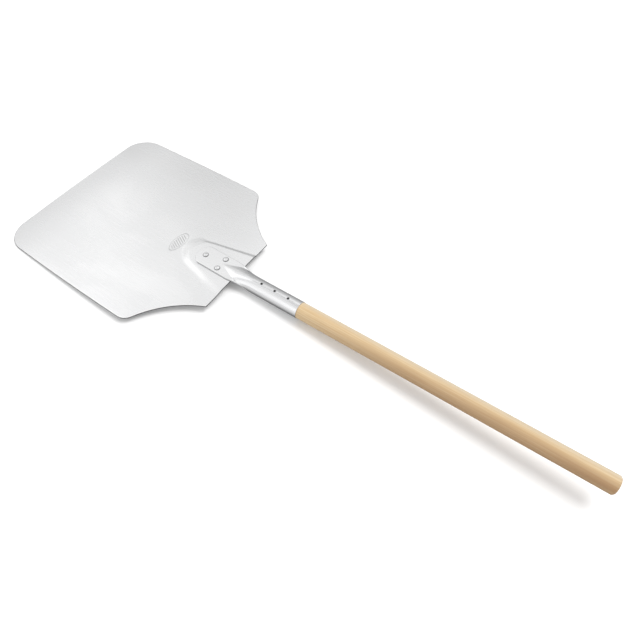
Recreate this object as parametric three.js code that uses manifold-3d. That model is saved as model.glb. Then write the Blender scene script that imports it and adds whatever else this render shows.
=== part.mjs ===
// Pizza peel: a pressed aluminium blade riveted to a flattened tube socket,
// with a turned wooden handle nailed into the socket.
//
// Units are millimetres. +X runs across the blade, +Y points to the leading
// edge, +Z is up, away from the surface that the peel lies on. The origin is
// the middle of the base of the whole peel's bounding box.
//
// Inside the group the peel is laid out in its blade frame: x across, y = -u
// where u is the distance back from the leading edge, and z = 0 on the flat
// underside of the sheet. The group is then tipped by about a degree, the way
// the peel lies on a table: on its leading edge and on the belly of the socket.

import * as THREE from 'three';
import { mergeVertices } from 'three/addons/utils/BufferGeometryUtils.js';
import { ParametricGeometry } from 'three/addons/geometries/ParametricGeometry.js';
import Module from 'manifold-3d';

// ---------------------------------------------------------------- dimensions
// blade sheet
const SHEET = 1.6;            // sheet thickness
const FRONT_HALF = 173.0;     // half width at the (virtual) front corners
const REAR_HALF = 178.0;      // half width at the (virtual) rear shoulders
const SHOULDER_U = 311.0;     // distance from the leading edge to the shoulders
const TANG_U = 403.0;         // distance from the leading edge to the back edge
const TANG_HALF = 82.0;       // half width of the straight back edge
const FRONT_RADIUS = 46.0;    // front corner radius
const SHOULDER_CUT = 16.0;    // length of each leg of the rounded shoulder
const CONCAVE_RISE = 12.8;    // how far the shoulder arcs curve inwards
const FRONT_BOW = 1.6;        // bow of the leading edge
const SIDE_BOW = 1.2;         // bow of the sides

// raised seat pressed into the sheet under the socket
const SEAT_RISE = 2.0;        // height of the seat above the sheet
const SEAT_WALL = 7.2;        // width of its sloping wall
const SEAT_HALF_LINE = [      // middle of the wall, as [x, u]
  [0, 290.5], [9, 292.2], [18.5, 299.2], [26.2, 309.5], [30.3, 323], [34.2, 341], [41, 371.5], [48, TANG_U],
];

// socket: round tube, flattened into a tongue at its front end
const GAP = 0.3;              // clearance kept between separate pieces
const TUBE_R = 14.8;          // outer radius of the tube
const TUBE_WALL = 1.35;
const TONGUE_THICK = 2.7;     // two tube walls pressed together
const NOSE_U = 315.0;         // front tip of the tongue
const NOSE_LEN = 15.0;        // length of its rounded nose
const TONGUE_HALF = 20.4;     // half width at the nose
const TONGUE_HALF_BACK = 21.3;// half width where it crosses the back edge
const SWELL_U = 368.0;        // where the tube starts to open out
const ROUND_U = 441.0;        // where the tube is fully round
const RIM_U = 535.0;          // open end of the socket
const AXIS_Z = -1.4;          // height of the tube axis at the back edge
const AXIS_SLOPE = 0.027;     // rise of the axis per millimetre towards the end

// fasteners
const RIVET_SPOTS = [[0, 331.5], [11.4, 367.5], [-11.4, 367.5]];
const RIVET_SHANK = 2.4;
const RIVET_HEAD = 4.75;
const RIVET_DOME = 2.0;
const RIVET_TAIL = 4.2;
const RIVET_TAIL_H = 1.2;
const NAIL_U = [456.5, 484.0, 511.5];
const NAIL_HEAD = 1.7;
const NAIL_SHANK = 0.85;
const NAIL_LEN = 15.0;

// wooden handle
const HANDLE_R = 14.4;
const SPIGOT_U = 447.0;       // inner end of the spigot
const HANDLE_END_U = 1045.0;
const END_ROUND = 3.2;        // rounding of the free end

// ------------------------------------------------------------------ helpers
const wasm = await Module();
wasm.setup();

const ALUMINIUM = { color: 0xd3d4d6, metalness: 1.0, roughness: 0.38 };
const STEEL = { color: 0x8d8f92, metalness: 1.0, roughness: 0.4 };
const DARK_STEEL = { color: 0x34353a, metalness: 0.9, roughness: 0.5 };
const WOOD = { color: 0xcfa97c, metalness: 0.0, roughness: 0.6 };

const clamp01 = (t) => Math.min(1, Math.max(0, t));
const smooth = (t) => { const k = clamp01(t); return k * k * (3 - 2 * k); };
const mix = (a, b, t) => a + (b - a) * t;

// closed geometry with shared vertices -> Manifold solid
function toSolid(geometry) {
  const g = geometry.clone();
  for (const name of Object.keys(g.attributes)) if (name !== 'position') g.deleteAttribute(name);
  const merged = mergeVertices(g, 1e-4);
  const idx = merged.index.array;
  const pos = merged.attributes.position;
  const at = (i) => new THREE.Vector3().fromBufferAttribute(pos, i);
  const keep = [];
  let volume = 0;                        // signed, six times over
  for (let i = 0; i < idx.length; i += 3) {
    const [a, b, c] = [idx[i], idx[i + 1], idx[i + 2]];
    if (a === b || b === c || a === c) continue;
    keep.push(a, b, c);
    volume += at(a).dot(at(b).cross(at(c)));
  }
  if (volume < 0) {                      // faces pointed inwards: turn them round
    for (let i = 0; i < keep.length; i += 3) [keep[i], keep[i + 1]] = [keep[i + 1], keep[i]];
  }
  return new wasm.Manifold(new wasm.Mesh({
    numProp: 3,
    vertProperties: new Float32Array(merged.attributes.position.array),
    triVerts: new Uint32Array(keep),
  }));
}

// Manifold solid -> geometry
function toGeometry(solid) {
  const m = solid.getMesh();
  const g = new THREE.BufferGeometry();
  const n = m.vertProperties.length / m.numProp;
  const pos = new Float32Array(n * 3);
  for (let i = 0; i < n; i++) for (let k = 0; k < 3; k++) pos[3 * i + k] = m.vertProperties[i * m.numProp + k];
  g.setAttribute('position', new THREE.BufferAttribute(pos, 3));
  g.setIndex(new THREE.BufferAttribute(new Uint32Array(m.triVerts), 1));
  g.computeVertexNormals();
  return g;
}

const group = new THREE.Group();
function piece(name, geometry, material, parent = group) {
  const mesh = new THREE.Mesh(geometry, new THREE.MeshStandardMaterial(material));
  mesh.name = name;
  parent.add(mesh);
  return mesh;
}

// ------------------------------------------------------------ blade outline
// Right half of the outline as [x, u], from the middle of the leading edge
// round to the corner of the back edge.
function halfOutline() {
  const F = new THREE.Vector2(FRONT_HALF, 0);
  const S = new THREE.Vector2(REAR_HALF, SHOULDER_U);
  const T = new THREE.Vector2(TANG_HALF, TANG_U);
  const e1 = new THREE.Vector2(-1, 0);
  const e2 = S.clone().sub(F).normalize();
  const half = Math.acos(e1.dot(e2)) / 2;
  const leg = FRONT_RADIUS / Math.tan(half);
  const A = F.clone().addScaledVector(e1, leg);
  const B = F.clone().addScaledVector(e2, leg);
  const O = F.clone().addScaledVector(e1.clone().add(e2).normalize(), FRONT_RADIUS / Math.sin(half));
  const pts = [];
  // leading edge with its bow
  for (let i = 0; i < 8; i++) {
    const x = (A.x * i) / 8;
    pts.push([x, -FRONT_BOW * (1 - (x / A.x) ** 2)]);
  }
  // front corner
  const a0 = Math.atan2(A.y - O.y, A.x - O.x);
  const a1 = Math.atan2(B.y - O.y, B.x - O.x);
  for (let i = 0; i <= 12; i++) {
    const a = mix(a0, a1, i / 12);
    pts.push([O.x + FRONT_RADIUS * Math.cos(a), O.y + FRONT_RADIUS * Math.sin(a)]);
  }
  // side with its bow
  const E = S.clone().addScaledVector(e2, -SHOULDER_CUT);
  for (let i = 1; i < 8; i++) {
    const t = i / 8;
    pts.push([mix(B.x, E.x, t) + 4 * t * (1 - t) * SIDE_BOW, mix(B.y, E.y, t)]);
  }
  // shoulder arc, from S to T, curving inwards
  const chord = T.clone().sub(S);
  const len = chord.length();
  const cn = new THREE.Vector2(-chord.y, chord.x).normalize();
  if (cn.x > 0) cn.negate();
  const R = (len * len / 4 + CONCAVE_RISE ** 2) / (2 * CONCAVE_RISE);
  const arc = (q) => {
    const s = Math.sqrt(R * R - ((q - 0.5) * len) ** 2) - (R - CONCAVE_RISE);
    return [S.x + chord.x * q + cn.x * s, S.y + chord.y * q + cn.y * s];
  };
  let q0 = 0;
  while (Math.hypot(arc(q0)[0] - S.x, arc(q0)[1] - S.y) < SHOULDER_CUT) q0 += 0.001;
  const G = arc(q0);
  // rounded shoulder
  for (let i = 0; i < 6; i++) {
    const t = i / 6;
    pts.push([
      (1 - t) ** 2 * E.x + 2 * t * (1 - t) * S.x + t * t * G[0],
      (1 - t) ** 2 * E.y + 2 * t * (1 - t) * S.y + t * t * G[1],
    ]);
  }
  for (let i = 0; i <= 14; i++) pts.push(arc(mix(q0, 1, i / 14)));
  return pts;
}

// ------------------------------------------------------------- blade solid
function bladeGeometry() {
  const half = halfOutline();
  const right = half.map(([x, u]) => new THREE.Vector2(x, -u));
  const left = half.slice(1).map(([x, u]) => new THREE.Vector2(-x, -u)).reverse();

  // middle line of the seat wall, from the left of the back edge, round the
  // front, to the right of the back edge
  const control = [
    ...SEAT_HALF_LINE.slice(1).reverse().map(([x, u]) => new THREE.Vector3(-x, -u, 0)),
    ...SEAT_HALF_LINE.map(([x, u]) => new THREE.Vector3(x, -u, 0)),
  ];
  const curve = new THREE.CatmullRomCurve3(control, false, 'centripetal');
  const N = 60;
  const offs = [1, 0.72, 0.42, 0.14, -0.14, -0.42, -0.72, -1].map((k) => (k * SEAT_WALL) / 2);
  const rings = offs.map(() => []);
  for (let i = 0; i <= N; i++) {
    const p = curve.getPointAt(i / N);
    const t = curve.getTangentAt(i / N);
    let nx = -t.y;                       // outward normal of the wall line
    let ny = t.x;
    if (i === 0 || i === N) { nx = Math.sign(nx) / Math.abs(t.y); ny = 0; p.y = -TANG_U; }
    offs.forEach((o, k) => {
      const z = SEAT_RISE * smooth((SEAT_WALL / 2 - o) / SEAT_WALL);
      rings[k].push(new THREE.Vector3(p.x + nx * o, i === 0 || i === N ? -TANG_U : p.y + ny * o, z));
    });
  }
  const outer = rings[0];
  const inner = rings[rings.length - 1];

  const tris = [];                       // top surface, counter-clockwise from above
  const put = (a, b, c) => {
    const area = (b.x - a.x) * (c.y - a.y) - (c.x - a.x) * (b.y - a.y);
    tris.push(area > 0 ? [a, b, c] : [a, c, b]);
  };
  const fill = (contour, holes, z) => {
    const v = [...contour, ...holes.flat()].map((p) => new THREE.Vector3(p.x, p.y, z));
    for (const [a, b, c] of THREE.ShapeUtils.triangulateShape(contour, holes)) put(v[a], v[b], v[c]);
  };
  const flat2 = (list) => list.map((p) => new THREE.Vector2(p.x, p.y));
  // flat sheet round the seat (counter-clockwise): right half from the back
  // edge forward, leading edge, left half, then round the seat
  const sheet = [...right.slice().reverse(), ...left.slice().reverse(), ...flat2(outer)];
  fill(sheet, [], SHEET);
  for (let k = 0; k + 1 < rings.length; k++) {
    for (let i = 0; i < N; i++) {
      const lift = (p) => new THREE.Vector3(p.x, p.y, p.z + SHEET);
      const [a, b, c, d] = [rings[k][i], rings[k][i + 1], rings[k + 1][i + 1], rings[k + 1][i]].map(lift);
      put(a, b, c);
      put(a, c, d);
    }
  }
  const holes = RIVET_SPOTS.map(([x, u]) => {
    const h = [];
    for (let i = 0; i < 24; i++) {
      const a = (-2 * Math.PI * i) / 24;
      h.push(new THREE.Vector2(x + (RIVET_SHANK + GAP) * Math.cos(a), -u + (RIVET_SHANK + GAP) * Math.sin(a)));
    }
    return h;
  });
  fill(flat2(inner), holes, SHEET + SEAT_RISE);

  // both skins, then a wall along every free edge of the top skin
  const out = [];
  const edge = new Map();
  const key = (p) => `${Math.fround(p.x).toFixed(4)},${Math.fround(p.y).toFixed(4)}`;
  for (const [a, b, c] of tris) {
    out.push(a, b, c);
    const d = [a, b, c].map((p) => new THREE.Vector3(p.x, p.y, p.z - SHEET));
    out.push(d[0], d[2], d[1]);
    for (const [p, q] of [[a, b], [b, c], [c, a]]) {
      const back = `${key(q)}|${key(p)}`;
      if (edge.has(back)) edge.delete(back); else edge.set(`${key(p)}|${key(q)}`, [p, q]);
    }
  }
  for (const [p, q] of edge.values()) {
    const pd = new THREE.Vector3(p.x, p.y, p.z - SHEET);
    const qd = new THREE.Vector3(q.x, q.y, q.z - SHEET);
    out.push(p, pd, qd, p, qd, q);
  }
  const g = new THREE.BufferGeometry();
  g.setFromPoints(out);
  g.setIndex([...out.keys()]);
  return toGeometry(toSolid(g));
}

// ----------------------------------------------------------- socket solid
const SEAT_TOP = SHEET + SEAT_RISE;
const TONGUE_MID = SEAT_TOP + GAP + TONGUE_THICK / 2;
const axisZ = (u) => AXIS_Z + AXIS_SLOPE * (u - TANG_U);

// Cross section of the outside of the socket at a distance u: half width a,
// middle height zm, half thickness at the sides hs, and the swelling above
// and below, each with its own half width and fullness.
function section(u) {
  const t = smooth((u - TANG_U) / (ROUND_U - TANG_U));
  let a = mix(TONGUE_HALF, TONGUE_HALF_BACK, clamp01((u - NOSE_U - NOSE_LEN) / (TANG_U - NOSE_U - NOSE_LEN)));
  a = mix(a, TUBE_R, t);
  if (u < NOSE_U + NOSE_LEN) a = TONGUE_HALF * Math.sqrt(Math.max(0.004, 1 - ((NOSE_U + NOSE_LEN - u) / NOSE_LEN) ** 2));
  const zm = mix(TONGUE_MID, axisZ(u), t);
  const hs = (TONGUE_THICK / 2) * (1 - t);
  const roundTop = axisZ(u) + TUBE_R;
  const roundLow = axisZ(u) - TUBE_R;
  const top = mix(TONGUE_MID + TONGUE_THICK / 2, roundTop, smooth((u - SWELL_U) / (ROUND_U - SWELL_U)));
  const low = mix(TONGUE_MID - TONGUE_THICK / 2, roundLow, smooth((u - TANG_U - 1) / (ROUND_U - TANG_U - 1)));
  return {
    a, zm, hs,
    up: Math.max(0, top - zm - hs),
    dn: Math.max(0, zm - hs - low),
    wt: mix(4, a, smooth((u - SWELL_U + 2) / (430 - SWELL_U + 2))),
    wb: mix(8, a, smooth((u - TANG_U + 1) / (430 - TANG_U + 1))),
    qt: mix(1.7, 0.5, smooth((u - SWELL_U) / (ROUND_U - 3 - SWELL_U))),
    qb: mix(1.7, 0.5, smooth((u - TANG_U) / (ROUND_U - 3 - TANG_U))),
  };
}
const lump = (x, w, q) => (Math.abs(x) >= w ? 0 : (1 - (x / w) ** 2) ** q);
const slab = (x, a) => Math.max(0, 1 - Math.min(1, Math.abs(x / a)) ** 6) ** (1 / 6);

function socketOuter() {
  const stations = [NOSE_U];
  for (const k of [0.06, 0.2, 0.4, 0.65, 1]) stations.push(NOSE_U + NOSE_LEN * k);
  stations.push(350);
  for (let u = SWELL_U - 4; u < ROUND_U; u += 5) stations.push(u);
  stations.push(ROUND_U, 460, 485, 510, RIM_U);
  const M = 20;                          // steps across the top and the bottom
  const func = (s, v, target) => {
    // s runs once round the section, v along the socket, with a pole at each end
    const last = stations.length + 1;
    const row = Math.round(v * last);
    if (row === 0) { target.set(0, -(NOSE_U - 0.2), TONGUE_MID); return; }
    if (row === last) { target.set(0, -RIM_U, axisZ(RIM_U)); return; }
    const u = stations[row - 1];
    const c = section(u);
    const step = Math.round(s * 2 * M) % (2 * M);
    const top = step <= M;
    const xi = top ? 1 - (2 * step) / M : -1 + (2 * (step - M)) / M;
    const x = c.a * Math.sin((Math.PI / 2) * xi);
    const z = top
      ? c.zm + c.hs * slab(x, c.a) + c.up * lump(x, c.wt, c.qt)
      : c.zm - c.hs * slab(x, c.a) - c.dn * lump(x, c.wb, c.qb);
    target.set(x, -u, z);
  };
  return new ParametricGeometry(func, 2 * M, stations.length + 1);
}

// hollow of the tube: round from the rim to the end of the spigot, then
// closing down into the flattened part
function socketBore() {
  const rows = [
    [RIM_U + 4, TUBE_R - TUBE_WALL, TUBE_R - TUBE_WALL], [ROUND_U + 3, TUBE_R - TUBE_WALL, TUBE_R - TUBE_WALL],
    [ROUND_U - 3, 12.4, 12.2], [ROUND_U - 9, 10.8, 9.4], [ROUND_U - 16, 8.8, 6.2], [ROUND_U - 23, 6.5, 3.4], [ROUND_U - 29, 4, 1.6],
  ];
  const M = 40;
  const func = (s, v, target) => {
    const last = rows.length + 1;
    const row = Math.round(v * last);
    if (row === 0) { target.set(0, -(RIM_U + 4), axisZ(RIM_U + 4)); return; }
    if (row === last) { target.set(0, -(ROUND_U - 32), section(ROUND_U - 32).zm + 1.6); return; }
    const [u, a, h] = rows[row - 1];
    const lift = 1.6 * smooth((ROUND_U - u) / 32);
    const t = (Math.round(s * M) % M) * ((2 * Math.PI) / M);
    target.set(a * Math.cos(t), -u, section(u).zm + lift + h * Math.sin(t));
  };
  return new ParametricGeometry(func, M, rows.length + 1);
}

function socketGeometry() {
  let solid = toSolid(socketOuter());
  solid = solid.subtract(toSolid(socketBore()));
  for (const [x, u] of RIVET_SPOTS) {
    const hole = new THREE.CylinderGeometry(RIVET_SHANK + GAP, RIVET_SHANK + GAP, 12, 24);
    hole.rotateX(Math.PI / 2);
    hole.translate(x, -u, TONGUE_MID);
    solid = solid.subtract(toSolid(hole));
  }
  for (const u of NAIL_U) {
    const hole = new THREE.CylinderGeometry(NAIL_SHANK + GAP, NAIL_SHANK + GAP, 8, 16);
    hole.rotateX(Math.PI / 2);
    hole.translate(0, -(u - TANG_U), TUBE_R);
    hole.rotateX(-Math.atan(AXIS_SLOPE));  // square to the tube axis
    hole.translate(0, -TANG_U, AXIS_Z);
    solid = solid.subtract(toSolid(hole));
  }
  return toGeometry(solid);
}

// ------------------------------------------------------------ handle solid
// Turned about its own axis: spigot inside the socket, then the full grip.
function handleGeometry() {
  const spigotR = TUBE_R - TUBE_WALL - GAP;
  const start = RIM_U + GAP + HANDLE_R * AXIS_SLOPE; // shoulder just behind the upright rim
  const pts = [
    [0, SPIGOT_U], [spigotR - 1.6, SPIGOT_U], [spigotR, SPIGOT_U + 1.6], [spigotR, start],
    [HANDLE_R - 0.5, start], [HANDLE_R, start + 0.6],
    [HANDLE_R, mix(start, HANDLE_END_U, 0.33)], [HANDLE_R, mix(start, HANDLE_END_U, 0.66)],
    [HANDLE_R, HANDLE_END_U - END_ROUND],
  ];
  for (let i = 1; i <= 5; i++) {
    const a = (i / 5) * (Math.PI / 2);
    pts.push([HANDLE_R - END_ROUND * (1 - Math.cos(a)), HANDLE_END_U - END_ROUND + END_ROUND * Math.sin(a)]);
  }
  pts.push([0, HANDLE_END_U]);
  const g = new THREE.LatheGeometry(pts.map(([r, u]) => new THREE.Vector2(r, u - TANG_U)), 48);
  g.rotateX(Math.PI);                    // lathe axis +Y becomes -Y, towards the end
  let solid = toSolid(g);
  for (const u of NAIL_U) {
    const hole = new THREE.CylinderGeometry(NAIL_SHANK + GAP, NAIL_SHANK + GAP, NAIL_LEN + 8, 16);
    hole.rotateX(Math.PI / 2);
    hole.translate(0, -(u - TANG_U), TUBE_R + 0.9 - NAIL_LEN + (NAIL_LEN + 8) / 2 - 1.0);
    solid = solid.subtract(toSolid(hole));
  }
  return toGeometry(solid);
}

// rivet: domed head above, flat tail below, standing along +Z at z = 0 on the
// seat's underside
function rivetGeometry() {
  const low = SEAT_TOP - SHEET - GAP;
  const high = TONGUE_MID + TONGUE_THICK / 2 + GAP;
  const pts = [
    [0, low - RIVET_TAIL_H], [RIVET_TAIL - 0.7, low - RIVET_TAIL_H], [RIVET_TAIL, low - 0.5], [RIVET_TAIL, low],
    [RIVET_SHANK, low], [RIVET_SHANK, high], [RIVET_HEAD, high], [RIVET_HEAD, high + 0.35],
  ];
  for (let i = 1; i < 6; i++) {
    const a = (i / 6) * (Math.PI / 2);
    pts.push([RIVET_HEAD * Math.cos(a), high + 0.35 + (RIVET_DOME - 0.35) * Math.sin(a)]);
  }
  pts.push([0, high + RIVET_DOME]);
  const g = new THREE.LatheGeometry(pts.map(([r, z]) => new THREE.Vector2(r, z)), 24);
  g.rotateX(Math.PI / 2);
  return toGeometry(toSolid(g));
}

// nail: low round head, plain shank, pointed; its head rests on z = 0
function nailGeometry() {
  const pts = [
    [0, -NAIL_LEN], [NAIL_SHANK * 0.5, -NAIL_LEN + 1.2], [NAIL_SHANK, -NAIL_LEN + 2.4], [NAIL_SHANK, 0],
    [NAIL_HEAD, 0], [NAIL_HEAD, 0.35], [NAIL_HEAD * 0.75, 0.62], [NAIL_HEAD * 0.4, 0.74], [0, 0.78],
  ];
  const g = new THREE.LatheGeometry(pts.map(([r, z]) => new THREE.Vector2(r, z)), 16);
  g.rotateX(Math.PI / 2);
  return toGeometry(toSolid(g));
}

// ---------------------------------------------------------------- assembly
const blade = piece('blade', bladeGeometry(), ALUMINIUM);
const socket = piece('handle_socket', socketGeometry(), ALUMINIUM);

['front', 'rear_right', 'rear_left'].forEach((side, i) => {
  const [x, u] = RIVET_SPOTS[i];
  piece(`rivet_${side}`, rivetGeometry(), STEEL).position.set(x, -u, 0);
});

// everything turned about the tube axis sits in a group on that axis
const onAxis = new THREE.Group();
onAxis.position.set(0, -TANG_U, AXIS_Z);
onAxis.rotation.x = -Math.atan(AXIS_SLOPE);
group.add(onAxis);
piece('wooden_handle', handleGeometry(), WOOD, onAxis);
['front', 'middle', 'rear'].forEach((place, i) => {
  piece(`nail_${place}`, nailGeometry(), DARK_STEEL, onAxis).position.set(0, -(NAIL_U[i] - TANG_U), TUBE_R + GAP * 0.5);
});

// ------------------------------------------------------------ resting tilt
// The peel lies on the underside of its leading edge and on the belly of the
// socket, so the blade frame is tipped until both touch the surface.
let tilt = 0;
const belly = socket.geometry.attributes.position;
const lead = FRONT_BOW;
for (let i = 0; i < belly.count; i++) {
  tilt = Math.max(tilt, Math.atan2(-belly.getZ(i), lead - belly.getY(i)));
}
group.rotation.x = -tilt;
group.updateMatrixWorld(true);
const box = new THREE.Box3().setFromObject(group, true);
group.position.set(-(box.min.x + box.max.x) / 2, -(box.min.y + box.max.y) / 2, -box.min.z);
group.updateMatrixWorld(true);

export default group;
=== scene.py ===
import math

import bpy
import numpy as np
from mathutils import Matrix, Vector, geometry

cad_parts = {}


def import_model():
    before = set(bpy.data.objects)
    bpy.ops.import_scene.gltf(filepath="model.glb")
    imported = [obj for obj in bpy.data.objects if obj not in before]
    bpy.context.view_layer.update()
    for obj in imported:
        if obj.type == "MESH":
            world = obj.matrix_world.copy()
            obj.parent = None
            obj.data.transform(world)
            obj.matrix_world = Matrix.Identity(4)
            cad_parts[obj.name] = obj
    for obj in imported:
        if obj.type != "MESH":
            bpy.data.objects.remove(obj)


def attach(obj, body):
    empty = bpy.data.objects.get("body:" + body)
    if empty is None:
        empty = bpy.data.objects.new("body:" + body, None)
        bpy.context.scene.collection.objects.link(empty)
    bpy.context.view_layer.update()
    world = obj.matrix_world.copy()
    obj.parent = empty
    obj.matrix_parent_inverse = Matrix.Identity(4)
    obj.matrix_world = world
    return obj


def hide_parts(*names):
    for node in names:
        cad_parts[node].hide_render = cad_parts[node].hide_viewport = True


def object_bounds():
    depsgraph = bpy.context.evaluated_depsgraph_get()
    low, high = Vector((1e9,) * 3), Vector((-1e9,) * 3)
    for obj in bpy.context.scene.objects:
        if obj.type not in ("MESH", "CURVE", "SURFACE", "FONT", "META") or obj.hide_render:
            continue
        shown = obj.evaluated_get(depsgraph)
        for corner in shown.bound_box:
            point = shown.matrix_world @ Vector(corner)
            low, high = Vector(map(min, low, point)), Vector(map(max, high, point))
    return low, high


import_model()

cad_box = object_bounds()

# ------------------------------------------------------------- shared layout
# Lengths are millimetres in the blade frame: x across, y = -u with u the
# distance back from the leading edge, z = 0 on the sheet's flat underside.
# LAY takes that frame to the row frame, in metres.
TILT = 0.034270354534059626
LAY = (
    Matrix.Translation((0.0, 0.5213193823848454, 0.0000548218))
    @ Matrix.Rotation(-TILT, 4, "X")
    @ Matrix.Scale(0.001, 4)
)

SHEET = 1.6
INSET = 0.06                 # the skin stays this far inside the CAD outline
FRONT_HALF, REAR_HALF = 173.0 - INSET, 178.0 - INSET
SHOULDER_U, TANG_U, TANG_HALF = 311.0, 403.0 - INSET, 82.0 - INSET
FRONT_RADIUS, SHOULDER_CUT, CONCAVE_RISE = 46.0, 16.0, 12.8
FRONT_BOW, SIDE_BOW = 1.6 - INSET, 1.2

SEAT_RISE = 2.0
SEAT_HALF_LINE = [
    (0, 290.5), (9, 292.2), (18.5, 299.2), (26.2, 309.5), (30.3, 323), (34.2, 341), (41, 371.5), (48, 403.0),
]

TUBE_R, TUBE_WALL = 14.8, 1.35
TONGUE_THICK, NOSE_U, NOSE_LEN = 2.7, 315.0, 15.0
TONGUE_HALF, TONGUE_HALF_BACK = 20.4, 20.6
SWELL_U, ROUND_U, RIM_U = 368.0, 441.0, 535.0
AXIS_Z, AXIS_SLOPE = -1.4, 0.027
RIVETS = {"rivet_front": (0.0, 331.5), "rivet_rear_right": (11.4, 367.5), "rivet_rear_left": (-11.4, 367.5)}
NAILS = {"nail_front": 456.5, "nail_middle": 484.0, "nail_rear": 511.5}
HANDLE_R, SPIGOT_U, HANDLE_END_U, END_ROUND = 14.4, 447.0, 1045.0, 3.2

SEAT_TOP = SHEET + SEAT_RISE
TONGUE_MID = SEAT_TOP + 0.02 + TONGUE_THICK / 2
TONGUE_TOP = TONGUE_MID + TONGUE_THICK / 2

# frame of the tube axis, for the handle and the nails
ON_AXIS = LAY @ Matrix.Translation((0, -403.0, AXIS_Z)) @ Matrix.Rotation(-math.atan(AXIS_SLOPE), 4, "X")


def axis_z(u):
    return AXIS_Z + AXIS_SLOPE * (u - 403.0)


def clamp01(t):
    return np.clip(t, 0.0, 1.0)


def smooth(t):
    k = clamp01(t)
    return k * k * (3 - 2 * k)


def mix(a, b, t):
    return a + (b - a) * t


def make(name, verts, faces, place, nodes, attributes=None, materials=(), face_material=None):
    """A mesh piece in the row frame. grain holds each point in its own frame, in millimetres."""
    verts = np.asarray(verts, float)
    world = np.array([place @ Vector(v) for v in verts])
    mesh = bpy.data.meshes.new(name)
    mesh.from_pydata(world.tolist(), [], [list(map(int, f)) for f in faces])
    mesh.validate()
    mesh.polygons.foreach_set("use_smooth", [True] * len(mesh.polygons))
    data = {"grain": verts}
    data.update(attributes or {})
    for key, values in data.items():
        values = np.asarray(values, float)
        if values.ndim == 2:
            layer = mesh.attributes.new(key, "FLOAT_VECTOR", "POINT")
            layer.data.foreach_set("vector", values.astype(np.float32).ravel())
        else:
            layer = mesh.attributes.new(key, "FLOAT", "POINT")
            layer.data.foreach_set("value", values.astype(np.float32))
    for m in materials:
        mesh.materials.append(m)
    if face_material is not None:
        mesh.polygons.foreach_set("material_index", [int(i) for i in face_material])
    mesh.update()
    obj = bpy.data.objects.new(name, mesh)
    bpy.context.scene.collection.objects.link(obj)
    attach(obj, "root")
    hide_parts(*nodes)
    return obj


# ------------------------------------------------------------ shader helpers
class Shader:
    def __init__(self, name):
        self.material = bpy.data.materials.new(name)
        self.material.use_nodes = True
        self.tree = self.material.node_tree
        self.tree.nodes.clear()
        self.out = self.add("ShaderNodeOutputMaterial")
        self.bsdf = self.add("ShaderNodeBsdfPrincipled")
        self.link(self.bsdf.outputs[0], self.out.inputs["Surface"])

    def add(self, kind, **values):
        node = self.tree.nodes.new(kind)
        for key, value in values.items():
            setattr(node, key, value)
        return node

    def link(self, a, b):
        self.tree.links.new(a, b)

    def put(self, socket, value):
        if isinstance(value, bpy.types.NodeSocket):
            self.link(value, socket)
        else:
            socket.default_value = value

    def attribute(self, name, output="Vector"):
        return self.add("ShaderNodeAttribute", attribute_name=name).outputs[output]

    def scaled(self, vector, xyz):
        node = self.add("ShaderNodeVectorMath", operation="MULTIPLY")
        self.link(vector, node.inputs[0])
        node.inputs[1].default_value = xyz
        return node.outputs[0]

    def noise(self, vector, scale, detail=3.0, rough=0.5, distortion=0.0):
        node = self.add("ShaderNodeTexNoise")
        self.link(vector, node.inputs["Vector"])
        node.inputs["Scale"].default_value = scale
        node.inputs["Detail"].default_value = detail
        node.inputs["Roughness"].default_value = rough
        node.inputs["Distortion"].default_value = distortion
        return node.outputs[0]

    def math(self, operation, a, b=0.0, c=0.0, clamp=False):
        node = self.add("ShaderNodeMath", operation=operation, use_clamp=clamp)
        self.put(node.inputs[0], a)
        self.put(node.inputs[1], b)
        self.put(node.inputs[2], c)
        return node.outputs[0]

    def ramp(self, fac, low, high, out_low=0.0, out_high=1.0, curve="SMOOTHSTEP"):
        node = self.add("ShaderNodeMapRange", interpolation_type=curve)
        self.link(fac, node.inputs["Value"])
        node.inputs["From Min"].default_value = low
        node.inputs["From Max"].default_value = high
        node.inputs["To Min"].default_value = out_low
        node.inputs["To Max"].default_value = out_high
        return node.outputs["Result"]

    def colour(self, fac, a, b):
        node = self.add("ShaderNodeMix", data_type="RGBA")
        self.put(node.inputs["Factor"], fac)
        self.put(node.inputs["A"], a)
        self.put(node.inputs["B"], b)
        return node.outputs["Result"]

    def bump(self, height, distance, strength=1.0, normal=None):
        node = self.add("ShaderNodeBump")
        node.inputs["Strength"].default_value = strength
        node.inputs["Distance"].default_value = distance
        self.link(height, node.inputs["Height"])
        if normal is not None:
            self.link(normal, node.inputs["Normal"])
        return node.outputs[0]

    def set(self, **values):
        for key, value in values.items():
            self.put(self.bsdf.inputs[key.replace("_", " ")], value)


def rgba(r, g, b):
    return (r, g, b, 1.0)


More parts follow.
